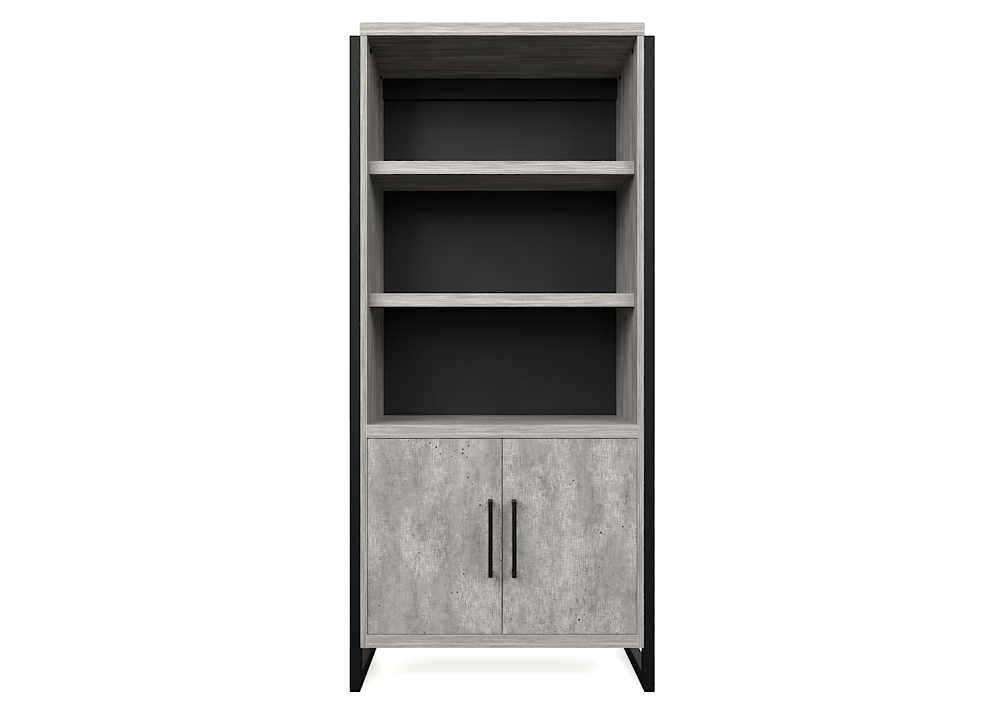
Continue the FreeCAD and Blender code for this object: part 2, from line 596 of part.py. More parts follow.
def handle():
    """Square bar handle: an upright bar on two short legs."""
    x = (HANDLE_OFFSET - HANDLE_BAR / 2, HANDLE_OFFSET + HANDLE_BAR / 2)
    tall = (HANDLE_ENDS[0] - HANDLE_BAR / 2, HANDLE_ENDS[1] + HANDLE_BAR / 2)
    block = box(x, (FRONT - HANDLE_PROJECTION, FRONT), tall)
    gap = box((x[0] - 1, x[1] + 1), (FRONT - HANDLE_PROJECTION + HANDLE_BAR, FRONT + 1),
              (HANDLE_ENDS[0] + HANDLE_BAR / 2, HANDLE_ENDS[1] - HANDLE_BAR / 2))
    shape = ease(block.cut(gap), HANDLE_EASE, lambda middle, direction: not near(middle.y, FRONT))
    threads = [rod(HANDLE_SCREW_DIAMETER + 2 * FIT, (HANDLE_OFFSET, FRONT, z), FORWARD,
                   HANDLE_SCREW_REACH + BOTTOMING) for z in HANDLE_ENDS]
    return cut(shape, threads)


def handle_screw(z):
    """Pan screw through the door into the handle's leg."""
    back = (HANDLE_OFFSET, DOOR_BACK, z)
    head = ease(rod(HANDLE_SCREW_HEAD_DIAMETER, back, REARWARD, HANDLE_SCREW_HEAD_HEIGHT),
                HANDLE_SCREW_EASE,
                lambda middle, direction: near(middle.y, DOOR_BACK + HANDLE_SCREW_HEAD_HEIGHT))
    return join(head, rod(HANDLE_SCREW_DIAMETER, back, FORWARD, DOOR_THICKNESS + HANDLE_SCREW_REACH))


# ---- the assembly, in the order it goes together -------------------------------------------------
os.makedirs("parts", exist_ok=True)

write_pair("side_panel", side_panel())
write("bottom_panel", thick_board(CASE_BOTTOM, lower_pivot("case_hollows")))
write("fixed_shelf", thick_board(CUPBOARD_CEILING, upper_pivot("case_hollows") + catch_screw_holes()))
write("top_panel", top_panel())
write("top_back_rail", back_rail())
write("back_panel", back_panel())
write("back_panel_screws", *[flat_screw(BACK_SCREW_DIAMETER, p, FORWARD, BACK_SCREW_LENGTH)
                             for p in back_screw_places()])

write("bottom_panel_dowels", *both_sides([pin for pin, hole in board_dowels(BOTTOM_PANEL_MIDDLE)]))
write("fixed_shelf_dowels", *both_sides([pin for pin, hole in board_dowels(FIXED_SHELF_MIDDLE)]))
write("top_panel_dowels", *both_sides([pin for pin, hole in top_dowels()]))
write("back_rail_dowels", *both_sides([pin for pin, hole in rail_dowels()]))

for name, top in (("lower_shelf", LOWER_SHELF_TOP), ("upper_shelf", UPPER_SHELF_TOP)):
    write(name, loose_shelf(top, SHELF_SETBACK + NOSING_DEPTH))
    write(name + "_front_edge", nosing(top))
    write(name + "_pins", *both_sides(shelf_pins(top - BOARD)[0]))
write("cupboard_shelf", loose_shelf(CUPBOARD_SHELF_TOP, CUPBOARD_SHELF_SETBACK))
write("cupboard_shelf_pins", *both_sides(shelf_pins(CUPBOARD_SHELF_TOP - BOARD)[0]))

frame_tubes()
write_pair("frame_inserts", *[insert(p) for p in BOLT_PLACES])
write_pair("frame_bolts", *[pan_bolt(p) for p in PAN_BOLT_PLACES], *[flat_bolt(p) for p in FLAT_BOLT_PLACES])
write_pair("foot_glides", *[glide(p) for p in GLIDE_PLACES])

write_pair("case_pivot_plates", *pivots("case_plate"))
write_pair("case_pivot_screws", *pivots("case_screws"))
write_pair("pivot_pins", *pivots("pin"))
write("catch_housings", *both_sides([catch_housing()]))
write("catch_magnets", *both_sides([magnet()]))
write("catch_screws", *both_sides([flat_screw(CATCH_SCREW_DIAMETER, p, UP, CATCH_SCREW_LENGTH)
                                   for p in CATCH_SCREW_PLACES]))

write_pair("door", door())
write_pair("door_pivot_plates", *pivots("door_plate"))
write_pair("door_pivot_screws", *pivots("door_screws"))
write_pair("door_pivot_bushings", *pivots("bushing"))
write_pair("strike_plate", strike_plate())
write_pair("strike_screw", flat_screw(CATCH_SCREW_DIAMETER, strike_screw_place(), FORWARD,
                                      STRIKE_SCREW_LENGTH))
write_pair("handle", handle())
write_pair("handle_screws", *[handle_screw(z) for z in HANDLE_ENDS])
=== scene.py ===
import bmesh
import bpy
import math
from mathutils import Matrix, Vector


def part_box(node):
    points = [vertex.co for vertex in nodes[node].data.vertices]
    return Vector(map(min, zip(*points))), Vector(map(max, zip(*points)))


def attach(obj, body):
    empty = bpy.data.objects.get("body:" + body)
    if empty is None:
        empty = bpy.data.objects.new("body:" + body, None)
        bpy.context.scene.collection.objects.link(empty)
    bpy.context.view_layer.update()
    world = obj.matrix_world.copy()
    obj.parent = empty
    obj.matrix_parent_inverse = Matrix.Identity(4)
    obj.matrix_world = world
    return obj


# Bookcase with cabinet doors: a grey laminated case between two black steel sled frames, with
# three open bays over a cupboard.  Metres, X to the right, the front faces -Y, Z up.
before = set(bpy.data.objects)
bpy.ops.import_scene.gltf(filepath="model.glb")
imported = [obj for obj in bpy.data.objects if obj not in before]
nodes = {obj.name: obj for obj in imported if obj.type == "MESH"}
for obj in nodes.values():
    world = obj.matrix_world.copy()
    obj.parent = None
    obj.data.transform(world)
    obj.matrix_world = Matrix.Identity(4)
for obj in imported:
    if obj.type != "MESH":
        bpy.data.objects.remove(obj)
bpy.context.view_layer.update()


# ---- side panels ---------------------------------------------------------------------------------
# Two upright boards of 18 mm chipboard, pressed between melamine papers that are printed as
# weathered grey wood.  A printed plastic band is glued on each front edge, and the back edge is raw.
MM = 0.001
GREY_DARK = "#827E7B"
GREY_LIGHT = "#E8E3DE"
GREY_GREEN = "#9DA39B"
GREEN_EDGES = (0.4, 0.65)       # cloud values between which the print turns greenish
GREEN_SHARE = 0.22
CHIP_DARK = "#7D6448"
CHIP_LIGHT = "#C9AE88"
CHIP = 4.0                      # mm
PORES = (2.2, 70.0)             # width and length in mm, drawn at four times the real width to show
GRAIN = (4.6, 320.0)
FIGURE = (24.0, 300.0)
FIGURE_WAVE = 0.7               # how far the growth rings wander, in widths of the figure
CLOUD = (130.0, 300.0)
PORE_EDGES = (0.31, 0.44)       # noise values between which an open pore fades out
PORE_DEPTH = 0.22
FACE_TONE = 0.5                 # mean of the print, where 0 is its dark colour and 1 its light one
BAND_TONE = 0.44
BAND_GRAIN = (3.6, 140.0)
BAND_FLECKS = (2.6, 9.0)        # short flecks that only the bands' print has
BAND_THICKNESS = 1.0 * MM
SIDE_LINES = (                  # place from the inside and half width in mm, and strength
    (1.5, 1.9, 0.32), (4.4, 1.5, -0.26), (7.3, 1.6, 0.12), (13.6, 2.4, 0.28),
    (9.0, 30.0, -0.06))         # the whole band, a shade darker than the boards' bands
PRINT_ROUGHNESS = (0.62, 0.48)  # of its dark and of its light parts
PRINT_RELIEF = (0.35, 0.15)     # strength of the pressed pores, and their depth in mm
RESIN = {"IOR": 1.5}            # melamine, and plain wood


def linear(hex_code):
    """Linear RGBA of an sRGB hex colour."""
    parts = [int(hex_code[k:k + 2], 16) / 255 for k in (1, 3, 5)]
    return [c / 12.92 if c <= 0.04045 else ((c + 0.055) / 1.055) ** 2.4 for c in parts] + [1.0]


def add(tree, kind, settings, inputs):
    """Adds a node with its settings, fills its inputs with links or values, and gives its outputs."""
    made = tree.nodes.new(kind)
    for name, value in settings.items():
        setattr(made, name, value)
    sockets = {socket.identifier: socket for socket in made.inputs}
    for name, value in inputs.items():
        if isinstance(value, bpy.types.NodeSocket):
            tree.links.new(value, sockets[name])
        else:
            sockets[name].default_value = value
    return {socket.identifier: socket for socket in made.outputs}


def new_material(name):
    """Material with an empty node tree, and the point on the object that its patterns read."""
    material = bpy.data.materials.new(name)
    material.use_nodes = True
    tree = material.node_tree
    tree.nodes.clear()
    return material, tree, add(tree, "ShaderNodeTexCoord", {}, {})["Object"]


def streaks(tree, point, along, size, wave=0.0):
    """Noise drawn out along one axis; size is the width and length of a streak in mm."""
    width, length = size
    scale = [width / length if axis == along else 1.0 for axis in "XYZ"]
    drawn = add(tree, "ShaderNodeMapping", {}, {"Vector": point, "Scale": scale})["Vector"]
    return add(tree, "ShaderNodeTexNoise", {}, {
        "Vector": drawn, "Scale": 1 / (width * MM), "Detail": 2.0, "Roughness": 0.6,
        "Distortion": wave})["Fac"]


def sum_of(tree, middle, patterns):
    """Adds patterns round a middle value; each is a weight, and a pattern that varies round a half."""
    total = middle - sum(weight for weight, pattern in patterns) / 2
    for weight, pattern in patterns:
        total = add(tree, "ShaderNodeMath", {"operation": "MULTIPLY_ADD"}, {
            "Value": pattern, "Value_001": weight, "Value_002": total})["Value"]
    return total


def distance_from(tree, value, place):
    """How far a coordinate is from a place, either way."""
    offset = add(tree, "ShaderNodeMath", {"operation": "SUBTRACT"}, {"Value": value, "Value_001": place})
    return add(tree, "ShaderNodeMath", {"operation": "ABSOLUTE"}, {"Value": offset["Value"]})["Value"]


def light_lines(tree, distance, lines):
    """Sum of soft lines; each is its place and half width in mm, and its strength."""
    total = 0.0
    for place, half_width, strength in lines:
        line = add(tree, "ShaderNodeMapRange", {"interpolation_type": "SMOOTHSTEP"}, {
            "Value": distance_from(tree, distance, place * MM), "From Min": 0.0,
            "From Max": half_width * MM, "To Min": strength, "To Max": 0.0})["Result"]
        total = add(tree, "ShaderNodeMath", {"operation": "ADD"}, {
            "Value": line, "Value_001": total})["Value"]
    return total


def band_print(tree, point, along, pores, cloud):
    """Tone of an edge band whose grain runs along an axis."""
    return sum_of(tree, BAND_TONE, [
        (0.9, pores), (0.9, streaks(tree, point, along, BAND_GRAIN)),
        (0.5, streaks(tree, point, along, BAND_FLECKS)), (0.4, cloud)])


def lay_finish(tree, colour, tone, roughness, values, height=None, relief=None):
    """Ends a material; a pair of roughnesses follows the tone, and relief is strength and depth in mm."""
    if isinstance(roughness, tuple):
        roughness = add(tree, "ShaderNodeMapRange", {}, {
            "Value": tone, "To Min": roughness[0], "To Max": roughness[1]})["Result"]
    values = {"Base Color": colour, "Roughness": roughness, **values}
    if relief:
        strength, depth = relief
        values["Normal"] = add(tree, "ShaderNodeBump", {}, {
            "Height": height, "Strength": strength, "Distance": depth * MM})["Normal"]
    surface = add(tree, "ShaderNodeBsdfPrincipled", {}, values)
    add(tree, "ShaderNodeOutputMaterial", {}, {"Surface": surface["BSDF"]})


def grey_wood_melamine(board, along, band_start, lines, banded_ends=False, raw_back=False):
    """Print of one board, with its grain along an axis and its band's lines measured from band_start."""
    low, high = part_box(board)
    material, tree, point = new_material("grey_wood_melamine_" + board)
    axes = add(tree, "ShaderNodeSeparateXYZ", {}, {"Vector": point})
    fine = streaks(tree, point, along, PORES)
    cloud = streaks(tree, point, along, CLOUD)

    # faces of the board
    pore = add(tree, "ShaderNodeMapRange", {"interpolation_type": "SMOOTHSTEP"}, {
        "Value": fine, "From Min": PORE_EDGES[0], "From Max": PORE_EDGES[1],
        "To Max": PORE_DEPTH})["Result"]
    face_tone = sum_of(tree, FACE_TONE, [
        (1.1, fine), (1.0, streaks(tree, point, along, GRAIN)),
        (1.3, streaks(tree, point, along, FIGURE, FIGURE_WAVE)), (0.5, cloud), (1.0, pore)])

    # edge bands, on the front and on the ends where they are banded too
    band_tone = band_print(tree, point, along, fine, cloud)
    on_band = add(tree, "ShaderNodeMath", {"operation": "LESS_THAN"}, {
        "Value": axes["Y"], "Value_001": low.y + BAND_THICKNESS})["Value"]
    if banded_ends:
        on_end = add(tree, "ShaderNodeMath", {"operation": "GREATER_THAN"}, {
            "Value": distance_from(tree, axes["X"], 0.0),
            "Value_001": high.x - BAND_THICKNESS})["Value"]
        end_tone = band_print(tree, point, "Y", streaks(tree, point, "Y", PORES), cloud)
        band_tone = add(tree, "ShaderNodeMix", {"data_type": "FLOAT"}, {
            "Factor_Float": on_end, "A_Float": band_tone, "B_Float": end_tone})["Result_Float"]
        on_band = add(tree, "ShaderNodeMath", {"operation": "MAXIMUM"}, {
            "Value": on_band, "Value_001": on_end})["Value"]
    across = distance_from(tree, axes["X" if along == "Z" else "Z"], band_start)
    band_tone = add(tree, "ShaderNodeMath", {"operation": "ADD"}, {
        "Value": band_tone, "Value_001": light_lines(tree, across, lines)})["Value"]
    tone = add(tree, "ShaderNodeMix", {"data_type": "FLOAT"}, {
        "Factor_Float": on_band, "A_Float": face_tone, "B_Float": band_tone})["Result_Float"]

    # colours of the print, and the bare chipboard of a raw back edge
    grey = add(tree, "ShaderNodeMix", {"data_type": "RGBA"}, {
        "Factor_Float": tone, "A_Color": linear(GREY_DARK), "B_Color": linear(GREY_LIGHT)})
    green_share = add(tree, "ShaderNodeMapRange", {}, {
        "Value": cloud, "From Min": GREEN_EDGES[0], "From Max": GREEN_EDGES[1],
        "To Max": GREEN_SHARE})["Result"]
    colour = add(tree, "ShaderNodeMix", {"data_type": "RGBA"}, {
        "Factor_Float": green_share, "A_Color": grey["Result_Color"],
        "B_Color": linear(GREY_GREEN)})["Result_Color"]
    if raw_back:
        chips = add(tree, "ShaderNodeTexVoronoi", {}, {"Vector": point, "Scale": 1 / (CHIP * MM)})
        chip_share = add(tree, "ShaderNodeSeparateColor", {}, {"Color": chips["Color"]})["Red"]
        chipboard = add(tree, "ShaderNodeMix", {"data_type": "RGBA"}, {
            "Factor_Float": chip_share, "A_Color": linear(CHIP_DARK), "B_Color": linear(CHIP_LIGHT)})
        at_back = add(tree, "ShaderNodeMath", {"operation": "GREATER_THAN"}, {
            "Value": axes["Y"], "Value_001": high.y - BAND_THICKNESS / 2})["Value"]
        colour = add(tree, "ShaderNodeMix", {"data_type": "RGBA"}, {
            "Factor_Float": at_back, "A_Color": colour,
            "B_Color": chipboard["Result_Color"]})["Result_Color"]
    lay_finish(tree, colour, tone, PRINT_ROUGHNESS, RESIN, fine, PRINT_RELIEF)
    return material


def dress(material, *names):
    """Gives CAD nodes that are kept as they are their material."""
    for name in names:
        for slot in nodes[name].material_slots:
            slot.material = material


for panel in ("left_side_panel", "right_side_panel"):
    low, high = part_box(panel)
    inner_face = min(low.x, high.x, key=abs)
    dress(grey_wood_melamine(panel, "Z", inner_face, SIDE_LINES, raw_back=True), panel)


# ---- thick boards --------------------------------------------------------------------------------
# Top, fixed shelf and bottom: 36 mm boards in the same print with the grain lengthwise.  Their
# bands are cut from one roll, so the same light lines run along each front edge.
BAND_LINES = ((1.0, 1.8, 0.22), (24.8, 2.3, 0.42), (34.6, 1.8, 0.1))    # mm down from the top

for board in ("bottom_panel", "fixed_shelf", "top_panel"):
    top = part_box(board)[1].z
    dress(grey_wood_melamine(board, "X", top, BAND_LINES, banded_ends=board == "top_panel"), board)


# ---- dowels --------------------------------------------------------------------------------------
# Beech dowels glued in the boards' joints, turned from straight-grained rod.  They are hidden in
# the boards: pale pinkish brown with short dark rays.
BEECH_LIGHT = "#D9B48C"
BEECH_DARK = "#B98A60"
BEECH_RAY = (0.8, 6.0)          # width and length in mm
BEECH_ROUGHNESS = 0.6
BEECH_RELIEF = (0.3, 0.1)


def lay_two_tone(tree, tone, dark, light, roughness, values, height=None, relief=None):
    """Ends a material whose colour runs from dark to light with one pattern."""
    colour = add(tree, "ShaderNodeMix", {"data_type": "RGBA"}, {
        "Factor_Float": tone, "A_Color": linear(dark), "B_Color": linear(light)})["Result_Color"]
    lay_finish(tree, colour, tone, roughness, values, height, relief)


beech, tree, point = new_material("turned_beech")
ray = streaks(tree, point, "X", BEECH_RAY)
lay_two_tone(tree, ray, BEECH_DARK, BEECH_LIGHT, BEECH_ROUGHNESS, RESIN, ray, BEECH_RELIEF)
dress(beech, "bottom_panel_dowels", "fixed_shelf_dowels", "top_panel_dowels", "back_rail_dowels")


# ---- back panel and back rail --------------------------------------------------------------------
# A 5 mm fibreboard sheet and an 18 mm rail across its top, both faced with black melamine.  The
# paper is smooth, so it carries a soft sheen with faint wiping marks.
BLACK_PAPER = "#141416"
BLACK_PAPER_WORN = "#212123"
BLACK_PAPER_TONE = 0.4
BLACK_PAPER_ROUGHNESS = (0.34, 0.48)
BLACK_PAPER_RELIEF = (0.15, 0.1)
HAZE = (90.0, 160.0)            # width and length in mm
WIPE = (5.0, 120.0)

black_paper, tree, point = new_material("black_melamine")
wipe = streaks(tree, point, "X", WIPE)
wear = sum_of(tree, BLACK_PAPER_TONE, [(1.3, streaks(tree, point, "Z", HAZE)), (0.5, wipe)])
lay_two_tone(tree, wear, BLACK_PAPER, BLACK_PAPER_WORN, BLACK_PAPER_ROUGHNESS, RESIN, wipe,
             BLACK_PAPER_RELIEF)
dress(black_paper, "back_panel", "top_back_rail")


# ---- loose shelves -------------------------------------------------------------------------------
# Two open shelves of 18 mm board, each with a deep front edge glued under it, and the cupboard's
# plain one.  They lie on steel pins, in the same print as the case.
NOSING_LINES = ((0.8, 1.8, 0.35), (18.0, 32.0, 0.1), (23.5, 2.3, 0.36), (34.6, 1.8, 0.22))

for shelf in ("lower_shelf", "upper_shelf"):
    edge = shelf + "_front_edge"
    dress(grey_wood_melamine(edge, "X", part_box(edge)[1].z, NOSING_LINES), edge, shelf)
plain_shelf_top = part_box("cupboard_shelf")[1].z
dress(grey_wood_melamine("cupboard_shelf", "X", plain_shelf_top, BAND_LINES[:1]), "cupboard_shelf")


# ---- zinc-plated hardware ------------------------------------------------------------------------
# Shelf pins, screws, pivot plates and pins, inserts and strike plates: steel, barrel plated with
# bright zinc and blue passivated, which leaves a slightly uneven, cloudy silver.
ZINC = "#BFC2C4"
ZINC_DULL = "#8F9396"
ZINC_ROUGHNESS = (0.42, 0.25)
PLATING_CLOUD = (1.2, 1.8)      # width and length in mm
METAL = {"Metallic": 1.0}

zinc, tree, point = new_material("zinc_plated_steel")
cloudy = streaks(tree, point, "Z", PLATING_CLOUD)
lay_two_tone(tree, cloudy, ZINC_DULL, ZINC, ZINC_ROUGHNESS, METAL)
dress(zinc, "back_panel_screws", "lower_shelf_pins", "upper_shelf_pins", "cupboard_shelf_pins",
      "catch_screws")
for side in ("left_", "right_"):
    dress(zinc, *[side + name for name in (
        "case_pivot_plates", "case_pivot_screws", "door_pivot_plates", "door_pivot_screws",
        "pivot_pins", "strike_plate", "strike_screw", "handle_screws", "frame_inserts")])


# ---- sled frames ---------------------------------------------------------------------------------
# Mitred 40 x 30 mm steel tube, welded into a closed loop at each side of the case, the outer seams
# ground flush, and coated with matt black powder that melts to a fine orange-peel skin.
POWDER = "#07080A"
POWDER_DUSTY = "#0E0F11"
POWDER_ROUGHNESS = (0.46, 0.58)
POWDER_RELIEF = (0.25, 0.1)
POWDER_RESIN = {"IOR": 1.5, "Specular IOR Level": 0.3}      # a matting agent takes off some gloss
PEEL = 1.1                      # mm between bumps, drawn larger than real so that it shows
DUST = (60.0, 200.0)
SEAM = 0.5                      # mm to each side of a ground weld seam
SEAM_DEPTH = 1.5                # in heights of the peel

bar_low, bar_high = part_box("right_frame_foot_bar")
leg_low, leg_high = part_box("right_frame_rear_leg")

powder_coat, tree, point = new_material("black_powder_coated_steel")
axes = add(tree, "ShaderNodeSeparateXYZ", {}, {"Vector": point})
peel = add(tree, "ShaderNodeTexNoise", {}, {
    "Vector": point, "Scale": 1 / (PEEL * MM), "Detail": 2.0, "Roughness": 0.5})["Fac"]
dust = streaks(tree, point, "Z", DUST)
corner_distances = []
for axis, start, end in (("Y", bar_low.y, bar_high.y), ("Z", leg_low.z, leg_high.z)):
    corner_distances.append(add(tree, "ShaderNodeMath", {"operation": "SUBTRACT"}, {
        "Value": (end - start) / 2,
        "Value_001": distance_from(tree, axes[axis], (start + end) / 2)})["Value"])
from_mitre = distance_from(tree, corner_distances[0], corner_distances[1])
seam = add(tree, "ShaderNodeMapRange", {"interpolation_type": "SMOOTHSTEP"}, {
    "Value": from_mitre, "From Max": SEAM * MM, "To Min": -SEAM_DEPTH, "To Max": 0.0})["Result"]
height = add(tree, "ShaderNodeMath", {"operation": "ADD"}, {"Value": peel, "Value_001": seam})["Value"]
lay_two_tone(tree, dust, POWDER, POWDER_DUSTY, POWDER_ROUGHNESS, POWDER_RESIN, height, POWDER_RELIEF)
for side in ("left_", "right_"):
    dress(powder_coat, *[side + name for name in (
        "frame_foot_bar", "frame_rear_leg", "frame_top_bar", "frame_front_leg")])


# ---- weld beads ----------------------------------------------------------------------------------
# The four inner corners of each frame keep their fillet welds: one rippled bead across the tube's
# width, laid by hand in short steps and coated with the frame.
BEAD_RADIUS = 2.6 * MM
BEAD_SINK = 0.6 * MM            # bead's middle beyond the corner, towards the opening
BEAD_END = 2.0 * MM             # bead stops short of the tube's rounded edges
BEAD_SIDES = 12
BEAD_RIPPLES = 9
RING_STEPS = 6                  # rings to one ripple
RIPPLE = 0.09                   # swelling as a share of the radius


def make_piece(name, shape, material):
    """Makes a bmesh into a smooth object."""
    mesh = bpy.data.meshes.new(name)
    shape.to_mesh(mesh)
    shape.free()
    mesh.materials.append(material)
    mesh.polygons.foreach_set("use_smooth", [True] * len(mesh.polygons))
    piece = bpy.data.objects.new(name, mesh)
    bpy.context.scene.collection.objects.link(piece)
    return piece


def weld_bead(start, end, y, z):
    """Rippled bead along X between two places, as a bmesh."""
    length = end - start
    shape = bmesh.new()
    bmesh.ops.create_cone(shape, cap_ends=True, segments=BEAD_SIDES, radius1=BEAD_RADIUS,
                          radius2=BEAD_RADIUS, depth=length)
    lengthwise = [e for e in shape.edges if abs(e.verts[0].co.z - e.verts[1].co.z) > length / 2]
    bmesh.ops.subdivide_edges(shape, edges=lengthwise, cuts=BEAD_RIPPLES * RING_STEPS - 1)
    for vert in shape.verts:
        along = 0.5 + vert.co.z / length
        swell = 1 - RIPPLE * math.cos(2 * math.pi * BEAD_RIPPLES * along)
        bmesh.ops.scale(shape, vec=(swell, swell, 1), verts=[vert])
    bmesh.ops.rotate(shape, matrix=Matrix.Rotation(math.pi / 2, 3, "Y"), verts=shape.verts)
    bmesh.ops.translate(shape, vec=((start + end) / 2, y, z), verts=shape.verts)
    return shape


inset = bar_high.z - bar_low.z + BEAD_SINK      # from the loop's outer corner to the bead's middle
frame_corners = {               # outer corner of the loop, and the way from it to the opening
    "front_foot": (bar_low.y, bar_low.z, 1, 1),
    "rear_foot": (bar_high.y, bar_low.z, -1, 1),
    "rear_top": (bar_high.y, leg_high.z, -1, -1),
    "front_top": (bar_low.y, leg_high.z, 1, -1)}
for side in ("left", "right"):
    low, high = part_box(side + "_frame_foot_bar")
    for corner, (y, z, y_way, z_way) in frame_corners.items():
        bead = weld_bead(low.x + BEAD_END, high.x - BEAD_END, y + y_way * inset, z + z_way * inset)
        weld = make_piece(side + "_" + corner + "_weld", bead, powder_coat)
        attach(weld, "case")


# ---- frame bolts ---------------------------------------------------------------------------------
# Socket-head bolts that pull each frame against its side panel: steel with a black oxide, a thin
# oiled film that stays metallic and shows bare steel only in its highlights.
OXIDE = "#1A1A1B"
OXIDE_RUBBED = "#3A3A3B"
OXIDE_ROUGHNESS = 0.38

black_oxide, tree, point = new_material("black_oxide_steel")
rubbed = streaks(tree, point, "Z", PLATING_CLOUD)
lay_two_tone(tree, rubbed, OXIDE, OXIDE_RUBBED, OXIDE_ROUGHNESS, METAL)
dress(black_oxide, "left_frame_bolts", "right_frame_bolts")


# ---- moulded plastic pieces ----------------------------------------------------------------------
# Foot glides in black polyethylene, pivot bushings in white nylon and catch housings in grey ABS,
# all injection moulded with a fine spark-eroded texture.
MOULD_TEXTURE = 0.6             # mm, drawn coarser than real so that it shows
MOULD_RELIEF = (0.3, 0.05)
PLASTICS = (                    # colours, roughness, IOR, and the nodes made of it
    ("black_polyethylene", "#17181A", "#222326", 0.55, 1.51, ("left_foot_glides", "right_foot_glides")),
    ("white_nylon", "#DAD8CF", "#E9E7E0", 0.45, 1.53,
     ("left_door_pivot_bushings", "right_door_pivot_bushings")),
    ("grey_abs", "#6F7275", "#7D8083", 0.5, 1.54, ("catch_housings",)))

for name, dark, light, roughness, ior, made_of_it in PLASTICS:
    plastic, tree, point = new_material("moulded_" + name)
    grit = add(tree, "ShaderNodeTexNoise", {}, {"Vector": point, "Scale": 1 / (MOULD_TEXTURE * MM)})["Fac"]
    lay_two_tone(tree, grit, dark, light, roughness, {"IOR": ior}, grit, MOULD_RELIEF)
    dress(plastic, *made_of_it)


# ---- catch magnets -------------------------------------------------------------------------------
# Sintered ferrite blocks pressed into the catch housings, ground flat: dull dark grey with a fine
# sooty grain.
FERRITE = "#2B2C2E"
FERRITE_PALE = "#46474A"
FERRITE_ROUGHNESS = 0.6
FERRITE_IOR = 2.0

ferrite, tree, point = new_material("ground_ferrite")
grit = add(tree, "ShaderNodeTexNoise", {}, {"Vector": point, "Scale": 1 / (MOULD_TEXTURE * MM)})["Fac"]
lay_two_tone(tree, grit, FERRITE, FERRITE_PALE, FERRITE_ROUGHNESS, {"IOR": FERRITE_IOR})
dress(ferrite, "catch_magnets")


# ---- doors ---------------------------------------------------------------------------------------
# Two 18 mm boards faced with melamine that is printed as board-cast concrete: cloudy warm grey, with
# upright streaks from the shuttering, paler scuffed patches, and small dark air holes in groups.
CONCRETE_DARK = "#7D7976"
CONCRETE_LIGHT = "#DFDBD7"
CONCRETE_HOLE = "#2C2A29"
CONCRETE_TONE = 0.42
CONCRETE_CLOUD = (70.0, 300.0)  # width and length in mm
CONCRETE_BLOTCH = (22.0, 34.0)
CONCRETE_STREAK = (3.1, 26.0)   # drawn wider than real so that it shows
CONCRETE_BRUSH = (3.2, 20.0)    # faint marks across the streaks
CONCRETE_SAND = 3.2             # mm, drawn coarser than real so that it shows
CONCRETE_ROUGHNESS = (0.62, 0.5)
CONCRETE_RELIEF = (0.3, 0.2)
SCUFF = (62.0, 150.0)
SCUFF_CRUMBS = (8.0, 22.0)      # crumbs that break up the edge of a scuffed patch
SCUFF_EDGES = (0.46, 0.6)       # noise values between which a scuffed patch comes in
SCUFF_STRENGTH = 0.16
CONCRETE_MARKS = (              # size, noise values between which the mark comes in, and its strength
    ((24.0, 60.0), 0.42, 0.33, -0.12),          # damp stains
    ((2.4, 320.0), 0.65, 0.72, -0.3))           # joints of the shuttering
HOLE_SPACING = 15.0             # mm
HOLE_RADIUS = 4.0               # mm
HOLE_RIM = 6.3                  # mm, where the pale rim of a hole ends
HOLE_RIM_STRENGTH = 0.22
HOLE_CORE = 0.5                 # share of the radius that is fully dark
HOLE_DEPTHS = (0.15, 1.0)       # of the faintest and the deepest hole
HOLE_GROUP = (46.0, 60.0)
HOLE_GROUP_EDGES = (0.572, 0.602)   # noise values between which a group of holes comes in
LEFT_DOOR_CUT = 5.0             # metres along the roll of printed paper, where each door's face lies
RIGHT_DOOR_CUT = 4.0

concrete, tree, point = new_material("concrete_print_melamine")

# each door's place on the roll
axes = add(tree, "ShaderNodeSeparateXYZ", {}, {"Vector": point})
on_right = add(tree, "ShaderNodeMath", {"operation": "GREATER_THAN"}, {
    "Value": axes["X"], "Value_001": 0.0})["Value"]
cut = add(tree, "ShaderNodeMapRange", {}, {
    "Value": on_right, "To Min": LEFT_DOOR_CUT, "To Max": RIGHT_DOOR_CUT})["Result"]
along_roll = add(tree, "ShaderNodeMath", {"operation": "ADD"}, {"Value": axes["Z"], "Value_001": cut})
point = add(tree, "ShaderNodeCombineXYZ", {}, {
    "X": axes["X"], "Y": axes["Y"], "Z": along_roll["Value"]})["Vector"]

# cloudy ground with streaks and sand
streak = streaks(tree, point, "Z", CONCRETE_STREAK)
brush = streaks(tree, point, "X", CONCRETE_BRUSH)
sand = add(tree, "ShaderNodeTexNoise", {}, {
    "Vector": point, "Scale": 1 / (CONCRETE_SAND * MM), "Detail": 2.0, "Roughness": 0.7})["Fac"]
tone = sum_of(tree, CONCRETE_TONE, [
    (0.75, streaks(tree, point, "Z", CONCRETE_CLOUD)), (0.4, streaks(tree, point, "Z", CONCRETE_BLOTCH)),
    (0.42, streak), (0.18, brush), (0.66, sand)])

